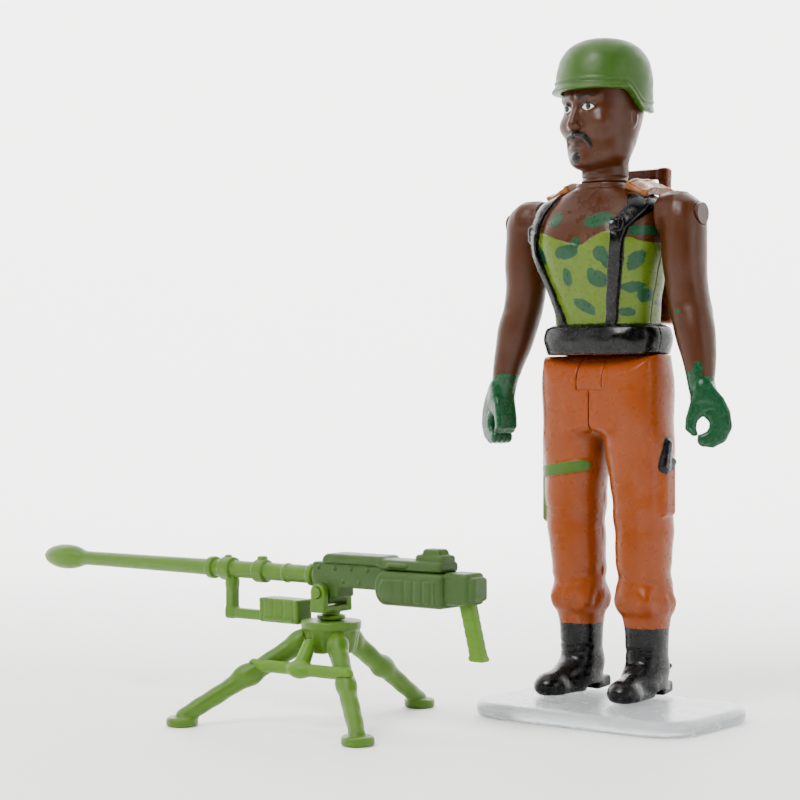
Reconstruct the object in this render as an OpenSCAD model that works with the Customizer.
// Small jointed soldier figure on a clear stand, with a lift-off helmet, a pack and a gun on a tripod.
// The figure faces -Y, its left side is +X, and the origin is the centre of the stand's bottom face.

/* [Stand] */
// Width of the clear plate, left to right
stand_w = 26.5; // [26:0.5:34]
// Depth of the clear plate, front to back
stand_d = 17.6; // [17.4:0.2:26]
// Thickness of the clear plate
stand_t = 1.7; // [1.2:0.1:3]
// Size of the plate's cut corners
stand_cut = 2.6; // [1:0.1:4]

/* [Figure] */
// How far the head is turned at rest, towards the figure's right
head_yaw = 14; // [0:1:60]
// Half the distance between the middles of the shoulders
shoulder_x = 9.8; // [9.8:0.1:11]
// Radius of the shoulder pins and the hip axle
pin_r = 0.8; // [0.5:0.05:1]
// Running clearance of every pin in its hole
fit_gap = 0.05; // [0.02:0.01:0.1]
// Radius of the grip in each hand
grip_r = 0.62; // [0.5:0.02:0.7]
// How far each hand's grip is turned outwards
grip_yaw = 30; // [0:1:45]

/* [Pack] */
// Half the width of the pack
pack_half_w = 5.6; // [5:0.1:6.2]
// Depth of the pack, front to back
pack_d = 4.4; // [3:0.1:6]

/* [Gun] */
// Length of the barrel in front of the trunnion
barrel_len = 37; // [25:0.5:50]
// Radius of the barrel at the receiver
barrel_r = 0.95; // [0.8:0.05:1.2]
// Distance from the tripod's middle to its near foot
near_reach = 13; // [11:0.5:14]

/* [Hidden] */
$fn = 48;

// Ring points of every lofted body, and the small gap between bodies that only touch
loft_n = 28;
gap = 0.15;

// Where the figure stands: its neck axis over the plate, its boots just clear of the plate
fig_x = -2.8;
fig_y = 3.8;
boot_gap = 0.12;

// Heights above the plate's top face
hip_z = 33.9;
hip_y = -0.8;
chest_y = -0.6;
belt_z = 36.9;
shoulder_z = 51.6;
seam_z = 55.5;
helmet_rim_z = 65.1;
flap_z = 62.95;

// Torso sections: height, middle y, half width, depth in front, depth behind
torso_rows = [
    [36.9, 0.2, 6.2, 3.9, 3.9], [37.3, 0.2, 6.9, 4.5, 4.5], [38.5, 0.2, 7.15, 4.75, 4.75],
    [39.7, 0.2, 6.9, 4.5, 4.5], [40.1, 0.2, 6.3, 4.0, 4.0], [40.2, 0.2, 5.8, 3.6, 3.4],
    [42.5, 0, 6.05, 3.9, 3.5], [45.5, -0.3, 6.6, 4.9, 3.7], [48.5, -0.5, 7.2, 5.5, 4.0],
    [50.5, -0.6, 7.35, 5.2, 4.1], [52.2, -0.6, 7.2, 4.0, 3.7], [53.2, -0.6, 6.5, 3.3, 3.1],
    [54.0, -0.6, 5.2, 2.8, 2.8], [54.6, -0.6, 3.9, 2.65, 2.7], [55.0, -0.6, 3.1, 2.6, 2.6],
    [seam_z - 0.1, -0.6, 2.75, 2.55, 2.55]
];

// Head sections, before the head is turned
head_rows = [
    [seam_z, 2.65, 2.5, 2.5], [56.6, 2.6, 2.6, 2.6], [57.1, 2.6, 3.9, 2.7], [58.6, 3.3, 4.5, 2.9],
    [60.5, 3.8, 4.5, 3.4], [63.0, 4.05, 4.5, 4.3], [65.5, 4.1, 4.45, 4.7], [67.6, 3.7, 4.0, 4.4],
    [69.0, 2.7, 3.0, 3.3], [69.9, 1.1, 1.3, 1.4]
];

// Helmet sections: outside, and the hollow that the head fills
helmet_rows = [
    [flap_z, 5.25, 5.4, 5.8], [65.2, 5.25, 5.95, 5.85], [65.9, 5.15, 5.8, 5.75], [66.5, 4.95, 5.35, 5.4],
    [68.3, 4.7, 5.0, 5.1], [69.7, 4.0, 4.3, 4.4], [70.6, 2.9, 3.1, 3.2], [71.1, 1.3, 1.4, 1.4]
];
helmet_hollow = [
    [flap_z - 1, 4.55, 4.95, 5.05], [66.1, 4.3, 4.7, 4.9], [67.5, 3.85, 4.2, 4.6],
    [69.1, 2.85, 3.15, 3.45], [70.1, 1.3, 1.5, 1.6]
];

// Left arm sections: height, middle x, middle y, half width, half depth
arm_rows = [
    [34.0, 12.5, -1.5, 1.4, 1.45], [35.2, 12.3, -1.3, 1.55, 1.6], [37.5, 11.85, -0.9, 1.85, 1.95],
    [40.0, 11.2, -0.7, 2.1, 2.2], [42.5, 10.6, -0.6, 2.15, 2.25], [45.0, 10.2, -0.6, 2.2, 2.3],
    [48.0, 10.0, -0.6, 2.3, 2.45], [51.0, 9.9, chest_y, 2.35, 2.55], [52.8, 9.7, chest_y, 2.1, 2.3],
    [53.6, 9.4, chest_y, 1.5, 1.7], [54.0, 9.2, chest_y, 0.8, 0.9]
];
grip_pos = [12.9, -1.7, 29.5];
grip_len = 2.4;

// Left leg sections: height, middle x, middle y, half width, half depth in front, half depth behind
leg_rows = [
    [0.9, 4.2, 1.3, 2.1, 2.7, 2.9], [2.2, 4.2, 1.3, 2.2, 2.8, 2.7], [4.0, 4.2, 1.4, 2.2, 2.4, 2.4],
    [7.6, 4.2, 1.4, 2.25, 2.4, 2.4], [7.8, 4.2, 1.4, 2.4, 2.55, 2.5], [9.0, 4.25, 1.2, 2.75, 2.85, 2.8],
    [10.7, 4.2, 1.1, 3.05, 3.15, 3.1], [12.2, 4.15, 1.0, 2.8, 2.9, 2.85], [15.0, 4.2, 0.8, 2.9, 3.0, 2.9],
    [19.0, 4.35, 0.6, 3.1, 3.1, 3.1], [23.0, 4.2, 0.4, 3.3, 3.3, 3.3], [27.0, 4.0, 0.2, 3.6, 3.5, 3.6],
    [29.0, 3.85, 0.1, 3.7, 3.6, 3.9], [32.0, 3.85, 0, 3.7, 3.65, 4.1], [35.0, 4.1, 0, 3.35, 3.65, 3.8],
    [belt_z - gap, 4.1, 0, 2.9, 3.2, 3.3]
];
hip_front_r = 2.9;
wedge_x = 1.6;
heel_r = hip_z + boot_gap - 0.03;

// Where the gun stands, and its heights above the table
gun_x = -20.6;
gun_y = -21.5;
trunnion_z = 13.9;
barrel_z = 15.5;
hub_top = 10.9;
hub_h = 3.3;
leg_angles = [-138, -38, 90];
leg_reaches = [near_reach + 2.5, near_reach, near_reach + 2];
trunnion_r = 0.55;

// A point of a rounded-square ring
function ring_point(a, hw, front, back, power) = [
    hw * sign(cos(a)) * pow(abs(cos(a)), 2 / power),
    (sin(a) < 0 ? front : back) * sign(sin(a)) * pow(abs(sin(a)), 2 / power)
];

// One closed body through rings; each row is [z, x, y, half width, front, back]
module loft(rows, power = 2.3) {
    n = loft_n;
    last = len(rows) - 1;
    points = [
        for (r = rows, i = [0:n - 1])
            let (p = ring_point(360 * i / n, r[3], r[4], r[5], power)) [r[1] + p[0], r[2] + p[1], r[0]]
    ];
    sides = [
        for (k = [0:last - 1], i = [0:n - 1], half = [0, 1])
            let (j = (i + 1) % n, a = k * n, b = (k + 1) * n)
            half == 0 ? [a + i, b + i, b + j] : [a + i, b + j, a + j]
    ];
    ends = [[for (i = [0:n - 1]) i], [for (i = [n - 1:-1:0]) last * n + i]];
    polyhedron(points, concat(ends, sides));
}

// Rows of a body centred on the figure's axis, in the form that loft() takes
function centred(rows) = [for (r = rows) [r[0], 0, 0, r[1], r[2], r[3]]];
function upright(rows) = [for (r = rows) [r[0], 0, r[1], r[2], r[3], r[4]]];
function even(rows) = [for (r = rows) [r[0], r[1], r[2], r[3], r[4], r[4]]];

module on_stand() {
    translate([fig_x, fig_y, stand_t + boot_gap]) children();
}

module on_head() {
    on_stand() translate([0, chest_y, 0]) rotate([0, 0, -head_yaw]) children();
}

module at_gun() {
    translate([gun_x, gun_y, 0]) children();
}

// A bar along X through the hip axis
module hip_bar(r, half_len) {
    translate([0, hip_y, hip_z]) rotate([0, 90, 0]) cylinder(r = r, h = 2 * half_len, center = true);
}

module x_bar(r, x0, x1, y, z) {
    translate([x0, y, z]) rotate([0, 90, 0]) cylinder(r = r, h = x1 - x0);
}

module y_bar(r, y0, y1, x, z) {
    translate([x, y0, z]) rotate([-90, 0, 0]) cylinder(r = r, h = y1 - y0);
}

// ---- stand ----
module stand_plate() {
    w = stand_w / 2;
    d = stand_d / 2;
    c = stand_cut;
    rounding = 0.8;
    corners = [
        [w, c - d], [w, d - c], [w - c, d], [c - w, d], [-w, d - c], [-w, c - d], [c - w, -d], [w - c, -d]
    ];
    outline = [
        for (i = [0:7], t = [-1, 0, 1])
            let (p = corners[i], q = corners[(i + 8 + sign(t)) % 8], l = norm(q - p))
            t == 0 ? p + 0.25 * (rounding * unit(corners[(i + 7) % 8] - p)
                                 + rounding * unit(corners[(i + 1) % 8] - p))
                   : p + (q - p) * rounding / l
    ];
    color([0.86, 0.87, 0.87, 0.6]) linear_extrude(stand_t) polygon(outline);
}
function unit(v) = v / norm(v);

// ---- torso ----
// The whole trunk, with the wedge between the legs, before it is parted into two shells
module trunk() {
    rear = 3.7;
    loft(upright(torso_rows), 2.8);
    hip_bar(hip_front_r + 0.1, wedge_x);
    translate([-wedge_x, hip_y, hip_z - 1.2]) cube([2 * wedge_x, rear - hip_y, belt_z - hip_z + 1.4]);
}

module trunk_bores() {
    hip_bar(pin_r, 4);
    x_bar(pin_r, -8, 8, chest_y, shoulder_z);
    // Room for the neck peg and its flange
    translate([0, chest_y, 49.9]) cylinder(r = 2.1 + fit_gap, h = 1.2);
    translate([0, chest_y, 50]) cylinder(r = 1.2 + fit_gap, h = 7);
    // Hollow of the chest
    translate([0, chest_y, 41.5]) cylinder(r1 = 2.0, r2 = 2.4, h = 2.2);
}

module torso_front() {
    color("olivedrab") on_stand() difference() {
        trunk();
        trunk_bores();
        translate([-20, chest_y, 0]) cube([40, 20, 80]);
        y_bar(0.45, -2.4, 1, 0, 47.4);
    }
}

module torso_back() {
    color("olivedrab") on_stand() difference() {
        trunk();
        trunk_bores();
        translate([-20, chest_y - 20, 0]) cube([40, 20, 80]);
        y_bar(0.45, -2, 5, 0, 47.4);
        y_bar(1.0, 2.6, 5, 0, 47.4);
        y_bar(0.75 + fit_gap, 2, 6, 0, 44.4);
    }
}

// One self-tapping screw from the back shell into the front shell, under the pack
module torso_screw() {
    color("silver") on_stand() {
        y_bar(0.45, -2.2, 2.7, 0, 47.4);
        difference() {
            y_bar(0.95, 2.65, 3.3, 0, 47.4);
            translate([-0.7, 3.0, 47.3]) cube([1.4, 1, 0.2]);
        }
    }
}

// ---- head ----
module neck_peg() {
    color("saddlebrown") on_head() {
        translate([0, 0, 50]) cylinder(r = 2.1, h = 1);
        translate([0, 0, 50]) cylinder(r = 1.2, h = 9);
    }
}

module head() {
    color([0.40, 0.22, 0.13]) on_head() difference() {
        union() {
            loft(centred(head_rows), 2.2);
            // Nose: a plain wedge on the middle of the face
            hull() {
                translate([0, -4.4, 63.2]) sphere(r = 0.4, $fn = 16);
                translate([0, -5.0, 61.5]) sphere(r = 0.5, $fn = 16);
                translate([0, -4.1, 61.3]) sphere(r = 0.8, $fn = 16);
            }
        }
        translate([0, 0, 50]) cylinder(r = 1.2, h = 9);
    }
}

module helmet() {
    // Side view of what the rim leaves open: the face, below the brim and in front of the flaps
    opening = [[-9, 60], [9, 60], [9, flap_z], [1.2, flap_z], [-1.9, helmet_rim_z], [-9, helmet_rim_z]];
    color([0.41, 0.56, 0.24]) on_head() difference() {
        loft(centred(helmet_rows), 2.15);
        loft(centred(helmet_hollow), 2.15);
        rotate([90, 0, 90]) linear_extrude(20, center = true) polygon(opening);
    }
}

// ---- arms ----
// Outline of the left hand around its grip, seen along the grip from the front
hand_outline = [
    [-1.0, 5.2], [-1.0, 3.0], [-1.3, 1.6], [-1.85, 0.4], [-1.95, -0.5], [-1.7, -1.0], [-1.1, -1.25],
    [-0.7, -1.15], [-0.35, -0.6], [0, -0.62], [-0.1, -1.3], [-0.5, -1.75], [-0.35, -2.1], [0.3, -2.45],
    [1.2, -2.3], [2.2, -1.7], [2.8, -0.9], [2.95, 0.1], [2.6, 1.5], [2.0, 3.0], [1.6, 5.2]
];

module left_arm_shape() {
    inner = 7.5;
    difference() {
        union() {
            intersection() {
                loft(even(arm_rows), 2.2);
                translate([inner, -20, 0]) cube([20, 40, 80]);
            }
            x_bar(2.3, inner, shoulder_x, chest_y, shoulder_z);
            intersection() {
                translate(grip_pos) rotate([0, 0, grip_yaw]) rotate([90, 0, 0])
                    linear_extrude(grip_len, center = true) polygon(hand_outline);
                translate([0, -20, 0]) cube([40, 40, 35]);
            }
        }
        translate(grip_pos) rotate([0, 0, grip_yaw]) rotate([90, 0, 0])
            cylinder(r = grip_r, h = 5, center = true);
        x_bar(pin_r + fit_gap, 5, 13, chest_y, shoulder_z);
        x_bar(1.15 + fit_gap, 11.6, 14, chest_y, shoulder_z);
    }
}

module shoulder_pin_shape() {
    x_bar(pin_r, 4.5, 12.1, chest_y, shoulder_z);
    x_bar(1.15, 11.65, 12.3, chest_y, shoulder_z);
}

module left_arm() {
    color([0.40, 0.22, 0.13]) on_stand() left_arm_shape();
}

module right_arm() {
    color([0.40, 0.22, 0.13]) on_stand() mirror([1, 0, 0]) left_arm_shape();
}

module left_shoulder_pin() {
    color("saddlebrown") on_stand() shoulder_pin_shape();
}

module right_shoulder_pin() {
    color("saddlebrown") on_stand() mirror([1, 0, 0]) shoulder_pin_shape();
}

// ---- legs ----
module left_leg_shape() {
    difference() {
        union() {
            loft(leg_rows, 2.4);
            // Foot of the boot, turned out a little
            translate([4.2, 1.3, 0]) rotate([0, 0, 5]) hull() {
                translate([0, -5.2, 0]) cylinder(r = 1.9, h = 1.1, $fn = 32);
                translate([0, -5.1, 1.5]) sphere(r = 1.45, $fn = 32);
                translate([0, -1.2, 0]) cylinder(r = 2.1, h = 3.2, $fn = 32);
                translate([0, 1.1, 0]) cylinder(r = 2.05, h = 3.4, $fn = 32);
            }
        }
        // Clear of the belt in front of the hip axis
        difference() {
            translate([-1, hip_y - 10, hip_z]) cube([20, 10, 10]);
            hip_bar(hip_front_r, 20);
        }
        // Clear of the wedge between the legs
        intersection() {
            translate([-1, -20, 0]) cube([1 + wedge_x + gap, 40, 60]);
            union() {
                hip_bar(hip_front_r + 0.1 + gap, 20);
                translate([-1, hip_y, hip_z - 1.2 - gap]) cube([20, 20, 20]);
            }
        }
        translate([-20, -20, 0]) cube([20 + gap / 2, 40, 60]);
        hip_bar(pin_r + fit_gap, 6.2);
        // The heel swings forward past the plate without touching it
        difference() {
            translate([-1, hip_y, -1]) cube([20, 20, 2]);
            hip_bar(heel_r, 30, $fn = 180);
        }
    }
}

module left_leg() {
    color([0.72, 0.37, 0.16]) on_stand() left_leg_shape();
}

module right_leg() {
    color([0.72, 0.37, 0.16]) on_stand() mirror([1, 0, 0]) left_leg_shape();
}

module hip_axle() {
    color("silver") on_stand() hip_bar(pin_r, 6);
}

// ---- pack ----
pack_y = 4.4;
pack_z = 40.3;
pack_h = 11;

// A box with its upright edges rounded
module soft_box(size, r) {
    linear_extrude(size[2]) union() {
        translate([-size[0] / 2 + r, 0]) square([size[0] - 2 * r, size[1]]);
        translate([-size[0] / 2, r]) square([size[0], size[1] - 2 * r]);
        for (x = [-1, 1], y = [r, size[1] - r]) translate([x * (size[0] / 2 - r), y]) circle(r);
    }
}

module backpack() {
    color([0.42, 0.22, 0.12]) on_stand() {
        translate([0, pack_y, pack_z]) soft_box([2 * pack_half_w, pack_d, pack_h], 1);
        translate([0, pack_y + pack_d, pack_z + 1.5]) soft_box([6.4, 0.8, 5.5], 0.3);
        y_bar(0.75, 2.6, pack_y + 0.1, 0, 44.4);
    }
}

// The open loop that stands on top of the pack
module pack_frame() {
    half = 3.4;
    bar = 1.2;
    top = 57.6;
    low = pack_z + pack_h;
    y = pack_y + 2.4;
    color([0.45, 0.24, 0.13]) on_stand() {
        for (x = [-half, half - bar]) translate([x, y, low]) cube([bar, bar, top - low]);
        translate([bar - half, y, top - bar]) cube([2 * (half - bar), bar, bar]);
        translate([bar - half, y, low]) cube([2 * (half - bar), bar, bar]);
    }
}

// Two straps from the pack's top over the shoulders
module pack_straps() {
    tilt = 25;
    mid = [5.0, 54.75];
    wide_strap = 3.0;
    thick = 0.8;
    front = -2.4;
    back = pack_y + 1.2;
    color([0.66, 0.43, 0.23]) on_stand() for (side = [0, 1]) mirror([side, 0, 0]) {
        translate([mid[0], front, mid[1]]) rotate([0, tilt, 0])
            translate([-wide_strap / 2, 0, -thick / 2]) cube([wide_strap, back - front, thick]);
        translate([mid[0] - 1.2, pack_y + 0.2, pack_z + pack_h]) cube([2.4, 1, mid[1] - pack_z - pack_h]);
    }
}

// ---- gun ----
// Half width of the receiver at the trunnion and of its wide rear part
slim = 1.35;
wide = 2.1;

module gun_receiver() {
    color([0.44, 0.60, 0.24]) at_gun() difference() {
        union() {
            translate([-1.6, -slim, barrel_z - 1.0]) cube([9.4, 2 * slim, 2.4]);
            translate([7.6, -wide, barrel_z - 2.5]) cube([8.4, 2 * wide, 3.6]);
            translate([15.9, -1.4, barrel_z - 2.3]) cube([3.5, 2.8, 3.4]);
            y_bar(1.15, -slim, slim, 0, trunnion_z);
            translate([-1.15, -slim, trunnion_z]) cube([2.3, 2 * slim, 0.6]);
        }
        y_bar(trunnion_r + fit_gap, -3, 3, 0, trunnion_z);
    }
}

module gun_cover() {
    color([0.40, 0.56, 0.22]) at_gun() {
        translate([-1.2, -1.6, barrel_z + 1.4]) cube([9.0, 3.2, 1.1]);
        translate([7.7, -1.6, barrel_z + 1.1]) cube([7.8, 3.2, 1.2]);
        translate([12.0, -1.2, barrel_z + 2.3]) cube([3.5, 2.4, 1.2]);
    }
}

module gun_barrel() {
    tip_r = 1.45;
    root = 1.6;
    flash = 7;
    color([0.44, 0.60, 0.24]) at_gun() translate([0, 0, barrel_z]) rotate([0, -90, 0]) {
        translate([0, 0, root]) cylinder(r1 = barrel_r, r2 = barrel_r * 0.85, h = barrel_len + 1 - root);
        for (ring = [[8.9, 1.5], [13.8, 1.6], [16.4, 0.8]])
            translate([0, 0, ring[0]]) cylinder(r = barrel_r + 0.3, h = ring[1]);
        translate([0, 0, barrel_len + flash / 2]) rotate_extrude() intersection() {
            scale([tip_r, flash / 2]) circle(1);
            translate([0, -flash]) square([3, 2 * flash]);
        }
    }
}

// L-shaped arm under the barrel
module ammo_bracket() {
    color([0.44, 0.60, 0.24]) at_gun() {
        translate([-14.7, -0.6, barrel_z - 5.3]) cube([1.2, 1.2, 4.1]);
        translate([-13.5, -0.6, barrel_z - 5.3]) cube([4.5, 1.2, 1.1]);
    }
}

module ammo_box() {
    color([0.44, 0.60, 0.24]) at_gun()
        translate([-9.0, -1.2, barrel_z - 5.3]) cube([5.4, 2.4, 2.5]);
}

// Plain bar that slants back and down from the receiver's end
module gun_grip() {
    color([0.52, 0.66, 0.30]) at_gun() translate([17.2, 0.65, barrel_z - 7.4]) rotate([90, 0, 0])
        linear_extrude(1.3) polygon([[1.2, 0.3], [2.6, 0], [1.7, 5.1], [0, 5.1]]);
}

module trunnion_pin() {
    color([0.44, 0.60, 0.24]) at_gun() y_bar(trunnion_r, -2.5, 2.5, 0, trunnion_z);
}

// Fork that carries the trunnion and turns in the hub
module gun_yoke() {
    cheek = 0.9;
    color([0.44, 0.60, 0.24]) at_gun() difference() {
        union() {
            translate([0, 0, hub_top - hub_h + 0.5]) cylinder(r = 0.95, h = trunnion_z - 1.5 - hub_top + hub_h - 0.5);
            translate([-cheek, -2.3, trunnion_z - 2.1]) cube([2 * cheek, 4.6, 0.7]);
            for (side = [-1, 1]) translate([0, side * 1.9, 0]) {
                translate([-cheek, -0.4, trunnion_z - 2]) cube([2 * cheek, 0.8, 2]);
                y_bar(cheek, -0.4, 0.4, 0, trunnion_z);
            }
        }
        y_bar(trunnion_r, -4, 4, 0, trunnion_z);
    }
}

// ---- tripod ----
module tripod_hub() {
    color([0.44, 0.60, 0.24]) at_gun() difference() {
        translate([0, 0, hub_top - hub_h]) cylinder(r1 = 2.6, r2 = 3.2, h = hub_h);
        translate([0, 0, hub_top - hub_h + 0.4]) cylinder(r = 0.95 + fit_gap, h = hub_h);
    }
}

// A leg: a straight bar from the hub down to a flat oval foot
module tripod_leg(angle, reach) {
    foot_h = 0.9;
    color([0.44, 0.60, 0.24]) at_gun() rotate([0, 0, angle]) difference() {
        union() {
            hull() {
                translate([2.4, 0, hub_top - 1.7]) sphere(r = 1.15, $fn = 24);
                translate([reach, 0, 1.0]) sphere(r = 0.85, $fn = 24);
            }
            translate([reach, 0, 0]) cylinder(r = 1.7, h = foot_h);
        }
        translate([0, 0, 5]) cylinder(r = 3.25, h = 10);
        translate([-30, -30, -20]) cube([60, 60, 20]);
    }
}

module tripod_leg_left() {
    tripod_leg(leg_angles[0], leg_reaches[0]);
}

module tripod_leg_near() {
    tripod_leg(leg_angles[1], leg_reaches[1]);
}

module tripod_leg_far() {
    tripod_leg(leg_angles[2], leg_reaches[2]);
}

// Bar between the left and the near leg, with a short upright
module tripod_crossbar() {
    reach = 8;
    z = 6.3;
    a = reach * [cos(leg_angles[0]), sin(leg_angles[0])];
    b = reach * [cos(leg_angles[1]), sin(leg_angles[1])];
    color([0.48, 0.63, 0.28]) at_gun() difference() {
        union() {
            translate([a[0], a[1], z]) rotate([0, 90, atan2(b[1] - a[1], b[0] - a[0])])
                cylinder(r = 0.65, h = norm(b - a));
            translate([(a[0] + b[0]) / 2, (a[1] + b[1]) / 2, z]) cylinder(r = 0.6, h = 2.4);
        }
        for (k = [0, 1]) rotate([0, 0, leg_angles[k]]) hull() {
            translate([2.4, 0, hub_top - 1.7]) sphere(r = 1.17, $fn = 24);
            translate([leg_reaches[k], 0, 1.0]) sphere(r = 0.87, $fn = 24);
        }
    }
}

stand_plate();
torso_front();
torso_back();
torso_screw();
neck_peg();
head();
helmet();
left_arm();
right_arm();
left_shoulder_pin();
right_shoulder_pin();
left_leg();
right_leg();
hip_axle();
backpack();
pack_frame();
pack_straps();
gun_receiver();
gun_cover();
gun_barrel();
ammo_bracket();
ammo_box();
gun_grip();
trunnion_pin();
gun_yoke();
tripod_hub();
tripod_leg_left();
tripod_leg_near();
tripod_leg_far();
tripod_crossbar();
